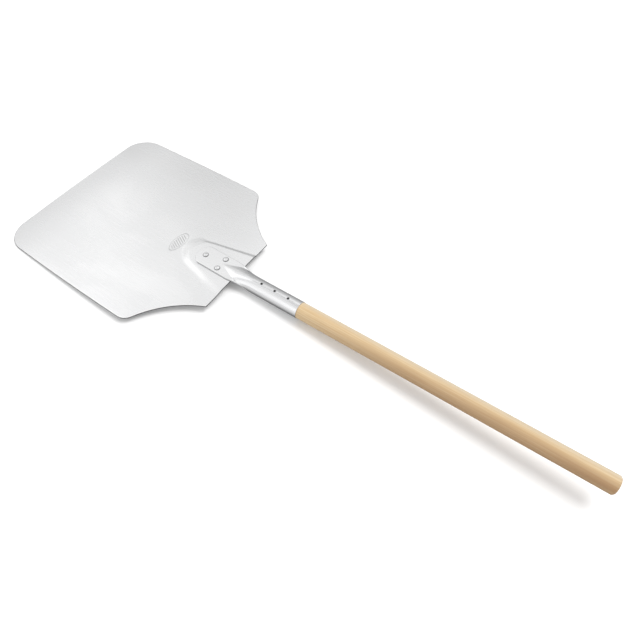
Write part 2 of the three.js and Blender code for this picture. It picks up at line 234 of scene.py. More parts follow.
# ----------------------------------------------------------------- materials
def sheet_metal():
    """Rolled aluminium sheet: fine mill lines along the blade, soft cloudy sheen, a few hairline scuffs, a burnished
    border and a painted highlight along the left wall of the raised seat."""
    s = Shader("aluminium_sheet")
    g = s.attribute("grain")
    lines = s.noise(s.scaled(g, (1.6, 0.012, 0.3)), 1.0, 4.0, 0.62)
    fine = s.noise(s.scaled(g, (5.5, 0.035, 0.5)), 1.0, 2.0, 0.5)
    cloud = s.noise(s.scaled(g, (0.012, 0.008, 0.012)), 1.0, 3.0, 0.5, 0.6)
    scuff = s.noise(s.scaled(g, (0.11, 0.75, 0.2)), 1.0, 5.0, 0.7, 1.4)
    marks = s.ramp(scuff, 0.63, 0.78)
    edge = s.attribute("edge", "Fac")
    nick = s.noise(s.scaled(g, (0.35, 0.35, 0.35)), 1.0, 4.0, 0.6)
    wear = s.math("MULTIPLY", s.ramp(edge, 5.5, 0.4), s.ramp(nick, 0.38, 0.62), clamp=True)
    rubbed = s.attribute("rubbed", "Fac")
    tone = s.colour(s.ramp(cloud, 0.3, 0.7), rgba(0.885, 0.888, 0.893), rgba(0.915, 0.917, 0.92))
    tone = s.colour(s.ramp(lines, 0.25, 0.75, 0.0, 0.07), tone, rgba(0.78, 0.785, 0.79))
    tone = s.colour(s.math("MULTIPLY", marks, 0.12), tone, rgba(0.97, 0.97, 0.97))
    tone = s.colour(s.math("MULTIPLY", wear, 0.45), tone, rgba(0.95, 0.95, 0.95))
    # painted highlight along the left wall of the raised seat
    tone = s.colour(s.math("MULTIPLY", rubbed, 0.35), tone, rgba(0.965, 0.965, 0.965))
    # duller towards the leading edge, a stand-in for the fall-off of the studio light there
    split = s.add("ShaderNodeSeparateXYZ")
    s.link(g, split.inputs[0])
    front = s.math("MULTIPLY", s.ramp(split.outputs[1], -95.0, 5.0), s.ramp(cloud, 0.2, 0.8, 0.62, 0.78))
    tone = s.colour(front, tone, rgba(0.74, 0.742, 0.748))
    stamp = s.attribute("stamp", "Fac")
    tone = s.colour(s.math("MULTIPLY", stamp, 0.55), tone, rgba(0.46, 0.46, 0.46))
    rough = s.ramp(lines, 0.2, 0.8, 0.23, 0.3)
    rough = s.math("ADD", rough, s.ramp(cloud, 0.3, 0.7, 0.03, -0.02))
    rough = s.math("ADD", rough, s.math("MULTIPLY", marks, -0.05))
    rough = s.math("ADD", rough, s.math("MULTIPLY", wear, -0.08))
    height = s.math("ADD", s.math("MULTIPLY", lines, 0.6), s.math("MULTIPLY", fine, 0.4))
    s.set(Base_Color=tone, Metallic=1.0, Roughness=rough, Normal=s.bump(height, 0.0000011, 0.5))
    return s.material


def cut_edge():
    """Sheared edge of the sheet: rougher than the face, with upright shear marks, and near-black with painted shade for
    the dark line along the sheet's edge.
    """
    s = Shader("cut_edge_painted_shade")
    g = s.attribute("grain")
    shear = s.noise(s.scaled(g, (2.2, 2.2, 0.12)), 1.0, 4.0, 0.6)
    patchy_shade = s.noise(s.scaled(g, (0.06, 0.06, 0.5)), 1.0, 3.0, 0.6)
    # near-black tone: painted shade for the dark line along the sheet's edge, varied with the shear marks
    tone = s.colour(s.ramp(shear, 0.3, 0.7), rgba(0.05, 0.05, 0.052), rgba(0.15, 0.15, 0.155))
    # patches of deeper painted shade
    tone = s.colour(s.ramp(patchy_shade, 0.4, 0.75, 0.0, 0.6), tone, rgba(0.03, 0.03, 0.03))
    s.set(Base_Color=tone, Metallic=1.0, Roughness=s.ramp(shear, 0.2, 0.8, 0.42, 0.6),
          Normal=s.bump(shear, 0.00004, 0.8))
    return s.material


def tube_metal():
    """Drawn aluminium tube: brighter, with straight draw lines along it, marks from the press, and painted shade round
    the rivet and nail heads and under the pressed edge.
    """
    s = Shader("aluminium_tube")
    g = s.attribute("grain")
    lines = s.noise(s.scaled(g, (1.7, 0.012, 1.7)), 1.0, 4.0, 0.6)
    streak = s.noise(s.scaled(g, (0.32, 0.012, 0.32)), 1.0, 3.0, 0.55)
    scuff = s.noise(s.scaled(g, (0.5, 0.16, 0.5)), 1.0, 6.0, 0.7, 1.0)
    marks = s.ramp(scuff, 0.6, 0.76)
    fold = s.attribute("fold", "Fac")
    tone = s.colour(s.ramp(streak, 0.3, 0.7), rgba(0.80, 0.803, 0.812), rgba(0.875, 0.878, 0.885))
    tone = s.colour(s.ramp(lines, 0.25, 0.8, 0.0, 0.16), tone, rgba(0.7, 0.705, 0.715))
    tone = s.colour(s.math("MULTIPLY", marks, 0.1), tone, rgba(0.93, 0.93, 0.93))
    tone = s.colour(s.math("MULTIPLY", s.attribute("flat", "Fac"), 0.8), tone, rgba(0.93, 0.932, 0.935))
    # painted shade round the rivet and nail heads and under the pressed edge of the tongue
    tone = s.colour(s.math("MULTIPLY", fold, 1.0, clamp=True), tone, rgba(0.13, 0.13, 0.135))
    rough = s.ramp(lines, 0.2, 0.8, 0.2, 0.29)
    rough = s.math("ADD", rough, s.math("MULTIPLY", marks, 0.1))
    height = s.math("ADD", s.math("MULTIPLY", lines, 0.7), s.math("MULTIPLY", marks, 0.06))
    s.set(Base_Color=tone, Metallic=1.0, Roughness=rough, Normal=s.bump(height, 0.000005, 0.5))
    return s.material


def rivet_metal():
    """Upset aluminium rivet: satin crown with hammer facets, and painted shade darkening the head's edge where it meets
    the sheet.
    """
    s = Shader("aluminium_rivet")
    g = s.attribute("grain")
    dent = s.noise(s.scaled(g, (0.55, 0.55, 0.55)), 1.0, 2.0, 0.5)
    fine = s.noise(s.scaled(g, (3.0, 3.0, 3.0)), 1.0, 4.0, 0.6)
    rim = s.attribute("rim", "Fac")
    tone = s.colour(s.ramp(fine, 0.3, 0.7), rgba(0.78, 0.785, 0.79), rgba(0.9, 0.9, 0.905))
    # painted shade at the outer edge of the head
    tone = s.colour(s.ramp(rim, 0.35, 1.0, 0.0, 0.95), tone, rgba(0.08, 0.08, 0.085))
    s.set(Base_Color=tone, Metallic=1.0, Roughness=s.ramp(fine, 0.25, 0.75, 0.2, 0.34),
          Normal=s.bump(dent, 0.0003, 0.6))
    return s.material


def nail_metal():
    """Blackened steel nail head with a slightly rubbed crown."""
    s = Shader("dark_steel")
    g = s.attribute("grain")
    fine = s.noise(s.scaled(g, (2.5, 2.5, 2.5)), 1.0, 4.0, 0.65)
    tone = s.colour(s.ramp(fine, 0.35, 0.7), rgba(0.006, 0.006, 0.007), rgba(0.028, 0.027, 0.026))
    s.bsdf.inputs["Specular IOR Level"].default_value = 0.12
    s.set(Base_Color=tone, Metallic=0.0, Roughness=s.ramp(fine, 0.2, 0.8, 0.6, 0.8),
          Normal=s.bump(fine, 0.00008, 0.7))
    return s.material


def turned_wood():
    """Sanded hardwood dowel: long growth bands, short dark pore flecks, a thin clear coat, and painted light: a darker
    brown lower side towards the free end, a paler upper side, and a darker upper side near the socket."""
    s = Shader("handle_hardwood")
    g = s.attribute("grain")
    split = s.add("ShaderNodeSeparateXYZ")
    s.link(g, split.inputs[0])
    x, y, z = split.outputs
    wander = s.noise(s.scaled(g, (0.02, 0.0035, 0.02)), 1.0, 2.0, 0.5)
    # rings about a pith that lies well outside the dowel
    dx = s.math("ADD", x, s.math("MULTIPLY_ADD", wander, 26.0, 22.0))
    dz = s.math("ADD", z, s.math("MULTIPLY_ADD", wander, -18.0, 46.0))
    radius = s.math("SQRT", s.math("ADD", s.math("MULTIPLY", dx, dx), s.math("MULTIPLY", dz, dz)))
    wobble = s.noise(s.scaled(g, (0.12, 0.006, 0.12)), 1.0, 3.0, 0.55)
    ring = s.math("ADD", s.math("MULTIPLY", radius, 0.34), s.math("MULTIPLY", wobble, 1.7))
    band = s.math("PINGPONG", ring, 0.5)
    band = s.math("MULTIPLY", band, 2.0)
    streak = s.noise(s.scaled(g, (0.55, 0.007, 0.55)), 1.0, 5.0, 0.62)
    fibre = s.noise(s.scaled(g, (2.6, 0.03, 2.6)), 1.0, 4.0, 0.6)
    pore = s.noise(s.scaled(g, (3.4, 0.11, 3.4)), 1.0, 3.0, 0.7)
    flecks = s.ramp(pore, 0.63, 0.74)
    along = s.ramp(y, -60.0, -440.0)
    side = s.ramp(s.math("ADD", s.math("MULTIPLY", x, 0.94), s.math("MULTIPLY", z, 0.34)), 9.0, -11.0)
    # painted shade: the lower side turns a darker brown towards the free end
    lower_end_shade = s.math("MULTIPLY", along, side)
    patch = s.noise(s.scaled(g, (0.05, 0.0045, 0.05)), 1.0, 2.0, 0.5)
    tone = s.colour(s.ramp(band, 0.15, 1.0), rgba(*PALE), rgba(*MID))
    tone = s.colour(s.ramp(streak, 0.35, 0.66, 0.0, 0.7), tone, rgba(*TAN))
    tone = s.colour(s.math("MULTIPLY", lower_end_shade, s.ramp(patch, 0.25, 0.7, 0.6, 1.0), clamp=True), tone, rgba(*BROWN))
    # painted sheen: the upper side, towards the light, is paler and duller in colour
    upper_side_sheen = s.ramp(s.math("ADD", s.math("MULTIPLY", x, 0.94), s.math("MULTIPLY", z, 0.34)), 2.5, 13.0, 0.0, 0.75)
    tone = s.colour(upper_side_sheen, tone, rgba(0.62, 0.545, 0.415))
    # painted shade: the upper side is darker near the socket
    fore = s.math("MULTIPLY", s.math("SUBTRACT", 1.0, along), s.math("SUBTRACT", 1.0, side))
    tone = s.colour(s.math("MULTIPLY", fore, 0.2, clamp=True), tone, rgba(*TAN))
    tone = s.colour(s.ramp(fibre, 0.3, 0.75, 0.0, 0.22), tone, rgba(*DEEP))
    tone = s.colour(s.math("MULTIPLY", flecks, 0.4), tone, rgba(*DEEP))
    # darker towards the free end
    tone = s.colour(s.math("MULTIPLY", along, 0.15), tone, rgba(0.3, 0.2, 0.12))
    cut = s.attribute("cut", "Fac")          # end grain
    spots = s.noise(s.scaled(g, (2.0, 2.0, 2.0)), 1.0, 4.0, 0.7)
    endtone = s.colour(s.ramp(band, 0.2, 0.9), rgba(*TAN), rgba(*BROWN))
    endtone = s.colour(s.ramp(spots, 0.5, 0.75, 0.0, 0.5), endtone, rgba(*DEEP))
    tone = s.colour(s.math("MULTIPLY", cut, 0.6), tone, endtone)
    rough = s.ramp(streak, 0.25, 0.75, 0.42, 0.58)
    height = s.math("ADD", s.math("MULTIPLY", fibre, 0.5), s.math("MULTIPLY", flecks, -0.9))
    s.set(Base_Color=tone, Roughness=rough, Normal=s.bump(height, 0.00005, 0.55))
    s.bsdf.inputs["Coat Weight"].default_value = 0.12
    s.bsdf.inputs["Coat Roughness"].default_value = 0.35
    s.bsdf.inputs["Specular IOR Level"].default_value = 0.35
    return s.material


PALE = (0.69, 0.55, 0.345)
MID = (0.625, 0.475, 0.28)
TAN = (0.53, 0.36, 0.185)
BROWN = (0.285, 0.145, 0.056)
DEEP = (0.33, 0.20, 0.10)

SHEET_METAL, CUT_EDGE_SHADE, TUBE_METAL = sheet_metal(), cut_edge(), tube_metal()
RIVET_METAL, NAIL_METAL, WOOD = rivet_metal(), nail_metal(), turned_wood()


# -------------------------------------------------------------------- blade
def half_outline():
    F, S, T = np.array([FRONT_HALF, 0.0]), np.array([REAR_HALF, SHOULDER_U]), np.array([TANG_HALF, TANG_U])
    e1 = np.array([-1.0, 0.0])
    e2 = (S - F) / np.linalg.norm(S - F)
    half = math.acos(float(e1 @ e2)) / 2
    leg = FRONT_RADIUS / math.tan(half)
    A, B = F + e1 * leg, F + e2 * leg
    O = F + (e1 + e2) / np.linalg.norm(e1 + e2) * FRONT_RADIUS / math.sin(half)
    pts = []
    for i in range(40):
        x = A[0] * i / 40
        pts.append([x, -FRONT_BOW * (1 - (x / A[0]) ** 2)])
    a0, a1 = math.atan2(A[1] - O[1], A[0] - O[0]), math.atan2(B[1] - O[1], B[0] - O[0])
    for i in range(41):
        a = mix(a0, a1, i / 40)
        pts.append([O[0] + FRONT_RADIUS * math.cos(a), O[1] + FRONT_RADIUS * math.sin(a)])
    E = S - e2 * SHOULDER_CUT
    for i in range(1, 50):
        t = i / 50
        pts.append([mix(B[0], E[0], t) + 4 * t * (1 - t) * SIDE_BOW, mix(B[1], E[1], t)])
    chord = T - S
    length = np.linalg.norm(chord)
    cn = np.array([-chord[1], chord[0]]) / length
    if cn[0] > 0:
        cn = -cn
    R = (length * length / 4 + CONCAVE_RISE ** 2) / (2 * CONCAVE_RISE)

    def arc(q):
        return S + chord * q + cn * (math.sqrt(R * R - ((q - 0.5) * length) ** 2) - (R - CONCAVE_RISE))

    q0 = 0.0
    while np.linalg.norm(arc(q0) - S) < SHOULDER_CUT:
        q0 += 0.0005
    Q = arc(q0)
    for i in range(20):
        t = i / 20
        pts.append(list((1 - t) ** 2 * E + 2 * t * (1 - t) * S + t * t * Q))
    for i in range(61):
        pts.append(list(arc(mix(q0, 1, i / 60))))
    back = [[TANG_HALF - 0.55, TANG_U], ]
    pts[-1] = list(arc(1 - 0.6 / length))     # the tang's corner is broken by half a millimetre
    pts += back
    for i in range(1, 70):
        pts.append([(TANG_HALF - 0.55) * (1 - i / 70), TANG_U])
    return np.array(pts)


def catmull(points, steps):
    """Centripetal Catmull-Rom curve through the points."""
    p = np.array(points, float)
    p = np.vstack([2 * p[0] - p[1], p, 2 * p[-1] - p[-2]])
    out = []
    for i in range(1, len(p) - 2):
        q = p[i - 1:i + 3]
        t = [0.0]
        for k in range(3):
            t.append(t[-1] + max(1e-6, np.linalg.norm(q[k + 1] - q[k])) ** 0.5)
        for s in np.linspace(t[1], t[2], steps, endpoint=False):
            a1 = (t[1] - s) / (t[1] - t[0]) * q[0] + (s - t[0]) / (t[1] - t[0]) * q[1]
            a2 = (t[2] - s) / (t[2] - t[1]) * q[1] + (s - t[1]) / (t[2] - t[1]) * q[2]
            a3 = (t[3] - s) / (t[3] - t[2]) * q[2] + (s - t[2]) / (t[3] - t[2]) * q[3]
            b1 = (t[2] - s) / (t[2] - t[0]) * a1 + (s - t[0]) / (t[2] - t[0]) * a2
            b2 = (t[3] - s) / (t[3] - t[1]) * a2 + (s - t[1]) / (t[3] - t[1]) * a3
            out.append((t[2] - s) / (t[2] - t[1]) * b1 + (s - t[1]) / (t[2] - t[1]) * b2)
    out.append(p[-2])
    return np.array(out)


def seat_line():
    right = [(x, -u) for x, u in SEAT_HALF_LINE]
    left = [(-x, y) for x, y in right[1:]][::-1]
    line = catmull(left + right, 24)
    last = line[-1] - line[-2]
    last = last / np.linalg.norm(last) * 30          # carried on past the back edge
    first = np.array([-last[0], last[1]])
    return np.vstack([line[0] + first, line, line[-1] + last])


SEAT_LINE = seat_line()


def to_segments(pts, a, b):
    """Distance of each point to the nearest segment, and the side it lies on."""
    best = np.full(len(pts), 1e9)
    side = np.zeros(len(pts))
    for p, q in zip(a, b):
        d = q - p
        t = clamp01(((pts - p) @ d) / (d @ d))
        v = pts - (p + t[:, None] * d)
        r = np.hypot(v[:, 0], v[:, 1])
        near = r < best
        best[near] = r[near]
        side[near] = np.sign(d[0] * v[near, 1] - d[1] * v[near, 0])
    return best, side


MARK_X, MARK_U, MARK_A, MARK_B = -1.5, 268.0, 23.0, 10.5


def rise(pts):
    """Height of the sheet's top face above its flat level: raised seat, slight unevenness, small stamped oval."""
    pts = np.asarray(pts, float)
    x, u = pts[:, 0], -pts[:, 1]
    r, side = to_segments(pts, SEAT_LINE[:-1], SEAT_LINE[1:])
    o = r * side                                     # positive outside the seat
    left = mix(mix(15.0, 14.5, smooth((u - 292) / 30)), 24.0, smooth((u - 336) / 44))
    right = mix(mix(25.0, 5.6, smooth((u - 292) / 21)), 7.2, smooth((u - 360) / 40))
    wall = mix(left, right, smooth((x + 17) / 22))
    z = SEAT_RISE * smooth((wall / 2 - o) / wall)
    # unevenness of a pressed sheet, fading out at its edge and at the seat
    away = smooth(EDGE_FADE(pts) / 55.0) * smooth((o - 6.0) / 40.0)
    z += away * 0.16 * (np.sin(x / 47.0 + 0.8) * np.cos(u / 61.0 - 0.4) + 0.6 * np.sin(x / 83.0 - u / 71.0 + 2.1))
    # plain stamped oval with slanted ribs
    e = np.hypot((x - MARK_X) / MARK_A, (u - MARK_U) / MARK_B)
    ringed = np.exp(-(((e - 1.0) * 14.0) / 0.75) ** 2)
    ribs = (0.5 + 0.5 * np.cos((x * 0.9 + (u - MARK_U) * 0.44) * 2 * math.pi / 4.2)) * smooth((0.86 - e) / 0.1)
    z -= 0.2 * ringed + 0.2 * ribs
    return z


OUTLINE_HALF = half_outline()
_right = np.column_stack([OUTLINE_HALF[:, 0], -OUTLINE_HALF[:, 1]])
_left = np.column_stack([-OUTLINE_HALF[1:, 0], -OUTLINE_HALF[1:, 1]])[::-1]
# clockwise seen from above: leading edge, right side, back edge, left side
OUTLINE = np.vstack([_right, [[0.0, -TANG_U]], _left])


def EDGE_FADE(pts):
    d, _ = to_segments(np.asarray(pts, float), OUTLINE[::3], np.roll(OUTLINE[::3], -1, axis=0))
    return d


def inside(pts, poly):
    x, y = pts[:, 0], pts[:, 1]
    hit = np.zeros(len(pts), bool)
    for (x0, y0), (x1, y1) in zip(poly, np.roll(poly, -1, axis=0)):
        if y0 == y1:
            continue
        cross = ((y0 > y) != (y1 > y)) & (x < (x1 - x0) * (y - y0) / (y1 - y0) + x0)
        hit ^= cross
    return hit


def inward(poly, by):
    """The closed polygon moved inwards by a small distance."""
    nxt, prv = np.roll(poly, -1, axis=0), np.roll(poly, 1, axis=0)
    e0, e1 = poly - prv, nxt - poly
    e0 /= np.linalg.norm(e0, axis=1)[:, None]
    e1 /= np.linalg.norm(e1, axis=1)[:, None]
    n0, n1 = np.column_stack([e0[:, 1], -e0[:, 0]]), np.column_stack([e1[:, 1], -e1[:, 0]])
    n = n0 + n1
    n /= (1 + np.sum(n0 * n1, axis=1))[:, None]
    return poly + n * by


def hexagonal(x0, x1, y0, y1, step):
    rows = []
    k = 0
    y = y0
    while y <= y1:
        rows.append(np.column_stack([np.arange(x0 + (step / 2 if k % 2 else 0), x1, step), ]))
        rows[-1] = np.column_stack([rows[-1][:, 0], np.full(len(rows[-1]), y)])
        y += step * math.sqrt(3) / 2
        k += 1
    return np.vstack(rows)


def blade():
    profile = [(0.75, SHEET), (0.5, SHEET), (0.32, SHEET - 0.04), (0.15, SHEET - 0.14), (0.04, SHEET - 0.3),
               (0.0, SHEET - 0.5), (0.0, 0.5), (0.04, 0.3), (0.15, 0.14), (0.32, 0.04), (0.5, 0.0), (0.75, 0.0)]
    support = inward(OUTLINE, profile[0][0])
    n = len(support)
    # points inside: close together round the mark and the seat wall, wide apart elsewhere
    mark = hexagonal(-28, 25, -283, -253, 0.5)
    e = np.hypot((mark[:, 0] - MARK_X) / MARK_A, (-mark[:, 1] - MARK_U) / MARK_B)
    mark = mark[e < 1.12]

    def near_mark(p, extra):
        return np.hypot((p[:, 0] - MARK_X) / (MARK_A * 1.12 + extra), (-p[:, 1] - MARK_U) / (MARK_B * 1.12 + extra)) < 1

    wall = hexagonal(-62, 62, -403, -280, 1.15)
    r, _ = to_segments(wall, SEAT_LINE[:-1], SEAT_LINE[1:])
    wall = wall[(r < 12.6) & ~near_mark(wall, 0.5)]
    mid = hexagonal(-75, 75, -403, -240, 2.6)
    r, _ = to_segments(mid, SEAT_LINE[:-1], SEAT_LINE[1:])
    mid = mid[(r > 13.8) & ~near_mark(mid, 1.6) & ((r < 22) | near_mark(mid, 12))]
    wide = hexagonal(-180, 180, -403, 2, 5.0)
    r, _ = to_segments(wide, SEAT_LINE[:-1], SEAT_LINE[1:])
    wide = wide[(r > 24.5) & ~near_mark(wide, 14.5)]
    inner = np.vstack([mark, wall, mid, wide])
    fence = inward(OUTLINE, 2.4)
    inner = inner[inside(inner, fence)]
    every = np.vstack([support, inner])
    loop = list(range(n))
    result = geometry.delaunay_2d_cdt([Vector(p) for p in every], [], [loop], 1, 1e-6, True)
    flat = np.array([[v[0], v[1]] for v in result[0]])
    tris = np.array([list(f) for f in result[2]])
    tris = tris[inside(flat[tris].mean(axis=1), support)]
    # index of each support point in the result
    where = {}
    for i, origin in enumerate(result[3]):
        for k in origin:
            if k < n:
                where[k] = i
    ring0 = [where[k] for k in range(n)]
    z = rise(flat)
    top = np.column_stack([flat, z + SHEET])
    count = len(top)
    # the underside takes the same heights as the top face, stamp included
    low = np.column_stack([flat, z])
    verts = [top, low]
    faces, kinds = [], []
    for a, b, c in tris:
        area = (flat[b][0] - flat[a][0]) * (flat[c][1] - flat[a][1]) - (flat[c][0] - flat[a][0]) * (flat[b][1] - flat[a][1])
        if area < 0:
            b, c = c, b
        faces.append((a, b, c))
        kinds.append(0)
        faces.append((a + count, c + count, b + count))
        kinds.append(0)
    base = 2 * count
    rings = [ring0]
    for inset, height in profile[1:-1]:
        poly = inward(OUTLINE, inset) if inset else OUTLINE.copy()
        zz = rise(poly)
        verts.append(np.column_stack([poly, zz + height]))
        rings.append(list(range(base, base + n)))
        base += n
    rings.append([i + count for i in ring0])
    for k in range(len(rings) - 1):
        a, b = rings[k], rings[k + 1]
        for i in range(n):
            j = (i + 1) % n
            faces.append((a[i], a[j], b[j], b[i]))
            kinds.append(1 if 1 <= k <= len(rings) - 3 else 0)
    verts = np.vstack(verts)
    edge = EDGE_FADE(verts[:, :2])
    stamp = np.hypot((verts[:, 0] - MARK_X) / MARK_A, (-verts[:, 1] - MARK_U) / MARK_B)
    ribs = (0.5 + 0.5 * np.cos((verts[:, 0] * 0.9 + (-verts[:, 1] - MARK_U) * 0.44) * 2 * math.pi / 4.2)) * smooth((0.86 - stamp) / 0.1)
    stamp = clamp01(np.exp(-(((stamp - 1.0) * 14.0) / 0.75) ** 2) + ribs)
    r, side = to_segments(verts[:, :2], SEAT_LINE[:-1], SEAT_LINE[1:])
    # painted highlight along the left wall of the raised seat, fading out before the back edge
    rubbed = np.exp(-(r * side / 3.2) ** 2) * smooth((400 + verts[:, 1]) / 45) * (verts[:, 0] < 12)
    return make("blade_sheet_skin", verts, faces, LAY, ["blade"],
                {"edge": edge, "rubbed": rubbed, "stamp": stamp}, [SHEET_METAL, CUT_EDGE_SHADE], kinds)


# ------------------------------------------------------------------- socket
def lump(x, w, q):
    return np.where(np.abs(x) >= w, 0.0, np.maximum(0.0, 1 - (x / w) ** 2) ** q)


def rounding(d, r=1.3):
    """Share of the half thickness at a distance d in from the edge of the pressed part."""
    k = 1 - clamp01(d / r)
    return np.sqrt(np.maximum(0.0, 1 - k * k))


def section(u, xi):
    """Top and bottom of the socket across a station: x, z top, z bottom."""
    t = float(smooth((u - 403.0) / (ROUND_U - 403.0)))
    a = mix(TONGUE_HALF, TONGUE_HALF_BACK, float(clamp01((u - NOSE_U - NOSE_LEN) / (403.0 - NOSE_U - NOSE_LEN))))
    a = mix(a, TUBE_R, float(smooth((u - 390.0) / (436.0 - 390.0))))
    ahead = max(0.0, (NOSE_U + NOSE_LEN - u) / NOSE_LEN)
    if ahead > 0:
        a = TONGUE_HALF * math.sqrt(max(0.0, 1 - ahead * ahead))
    x = a * np.sin(np.pi / 2 * xi)
    if ahead > 0:
        rho = np.hypot(x / TONGUE_HALF, ahead)
        reach = np.hypot(x, ahead * NOSE_LEN) / np.maximum(rho, 1e-6)
        d = (1 - np.minimum(rho, 1)) * reach
    else:
        d = a - np.abs(x)
    zm = mix(TONGUE_MID, axis_z(u), t)
    hs = TONGUE_THICK / 2 * (1 - t)
    flat = hs * rounding(d)
    roof = mix(TONGUE_TOP, axis_z(u) + TUBE_R, float(smooth((u - SWELL_U) / (ROUND_U - SWELL_U))))
    belly = mix(TONGUE_MID - TONGUE_THICK / 2, axis_z(u) - TUBE_R, float(smooth((u - 404.0) / (ROUND_U + 0.5 - 404.0))))
    up, dn = max(0.0, roof - zm - hs), max(0.0, zm - hs - belly)
    wt = mix(4.0, a, float(smooth((u - SWELL_U + 2) / (430 - SWELL_U + 2))))
    wb = mix(8.0, a, float(smooth((u - 402.0) / (430 - 402.0))))
    qt = mix(1.7, 0.5, float(smooth((u - SWELL_U) / (ROUND_U - 3 - SWELL_U))))
    qb = mix(1.7, 0.5, float(smooth((u - 403.0) / (ROUND_U - 3 - 403.0))))
    return x, zm + flat + up * lump(x, wt, qt), zm - flat - dn * lump(x, wb, qb), d, t


def socket():
    M = 88
    xi = np.linspace(1, -1, M + 1)
    stations = [NOSE_U + NOSE_LEN * (1 - math.cos(a)) for a in np.linspace(0.06, math.pi / 2, 22)]
    stations += list(np.arange(330.6, 446, 0.6)) + list(np.arange(447, 520, 0.7)) + list(np.arange(521, RIM_U - 1, 3.0))
    stations += [RIM_U - 0.9]
    verts, rows, turn, fold, flat = [], [], [], [], []

    def ring(u, shrink=0.0):
        x, top, low, d, t = section(u, xi)
        zc = axis_z(u)
        loop = [(x[i], top[i]) for i in range(M + 1)] + [(x[i], low[i]) for i in range(M - 1, 0, -1)]
        start = len(verts)
        for i, (px, pz) in enumerate(loop):
            pz = max(pz, zc - TUBE_R + 0.05)         # 0.05 mm flat, so that the skin stays inside the CAD box
            if shrink:
                k = (TUBE_R - shrink) / TUBE_R
                px, pz = px * k, zc + (pz - zc) * k
            lean = AXIS_SLOPE * (pz - zc) * float(smooth((u - 450.0) / 60.0))
            verts.append((px, -u + lean, pz))
            turn.append(math.atan2(px, pz - (zc if u > 430 else TONGUE_MID)) / (2 * math.pi) + 0.5)
            near = min(math.hypot(px - rx, u - ru) for rx, ru in RIVETS.values())
            # painted shade in a ring round each rivet head
            ring_shade = 0.55 * math.exp(-(((near - 4.9) / 0.55) ** 2)) if pz > TONGUE_MID + 1.2 else 0.0
            # painted shade under the pressed edge, strongest on the -X side
            seam_shade = float(smooth((TONGUE_MID + 1.25 - pz) / 0.5)) * float(smooth((414.0 - u) / 14.0)) * float(smooth((u - 318.0) / 16.0))
            # painted shade in a dark ring round each nail head, which makes the head read larger
            nail = min(math.hypot(px, u - nu) for nu in NAILS.values()) if pz > zc else 99.0
            ring_shade = max(ring_shade, 0.85 * math.exp(-(((max(nail, 1.9) - 1.9) / 0.55) ** 2)))
            fold.append(max(ring_shade, seam_shade * (0.62 if px < 0 else 0.2)))
            flat.append(float(smooth((420.0 - u) / 36.0)))
        rows.append(list(range(start, start + len(loop))))

    verts.append((0.0, -NOSE_U - 0.002, TONGUE_MID))
    turn.append(0.5)
    fold.append(0.0)
    flat.append(0.0)
    for u in stations:
        ring(u)
    for du, shrink in ((0.5, 0.03), (0.25, 0.12), (0.1, 0.26), (0.0, 0.45)):
        ring(RIM_U - du, shrink)
    for du, shrink in ((0.0, 1.05), (0.08, 1.22), (0.3, 1.33), (0.8, 1.35), (30.0, 1.35), (60.0, 1.35), (88.0, 1.35)):
        ring(RIM_U - du, shrink)
    verts.append((0.0, -(RIM_U - 88.0), axis_z(RIM_U - 88.0)))
    turn.append(0.5)
    fold.append(0.0)
    flat.append(0.0)
    m = len(rows[0])
    faces = [(0, rows[0][i], rows[0][(i + 1) % m]) for i in range(m)]
    for a, b in zip(rows, rows[1:]):
        for i in range(m):
            j = (i + 1) % m
            faces.append((a[i], b[i], b[j], a[j]))
    tip = len(verts) - 1
    faces += [(tip, rows[-1][(i + 1) % m], rows[-1][i]) for i in range(m)]
    verts = np.array(verts)
    # turn the faces outwards if the loop ran the other way
    volume = 0.0
    for f in faces:
        a, b, c = verts[f[0]], verts[f[1]], verts[f[2]]
        volume += a @ np.cross(b, c)
        if len(f) == 4:
            volume += a @ np.cross(c, verts[f[3]])
    if volume < 0:
        faces = [f[::-1] for f in faces]
    return make("socket_tube_skin", verts, faces, LAY, ["handle_socket"],
                {"turn": turn, "fold": fold, "flat": flat}, [TUBE_METAL])


# ------------------------------------------------------------- turned pieces
def lathe(profile, around, wobble=None):
    """Closed surface turned about +Z from (radius, height) pairs, bottom to top. The first and last lie on the axis."""
    verts, rows = [(0.0, 0.0, profile[0][1])], []
    for r, z in profile[1:-1]:
        start = len(verts)
        for i in range(around):
            a = 2 * math.pi * i / around
            rr = r * (1 + (wobble(a, z) if wobble else 0.0))
            verts.append((rr * math.cos(a), rr * math.sin(a), z))
        rows.append(list(range(start, start + around)))
    verts.append((0.0, 0.0, profile[-1][1]))
    faces = [(0, rows[0][(i + 1) % around], rows[0][i]) for i in range(around)]
    for a, b in zip(rows, rows[1:]):
        for i in range(around):
            j = (i + 1) % around
            faces.append((a[i], a[j], b[j], b[i]))
    tip = len(verts) - 1
    faces += [(tip, rows[-1][i], rows[-1][(i + 1) % around]) for i in range(around)]
    return np.array(verts), faces


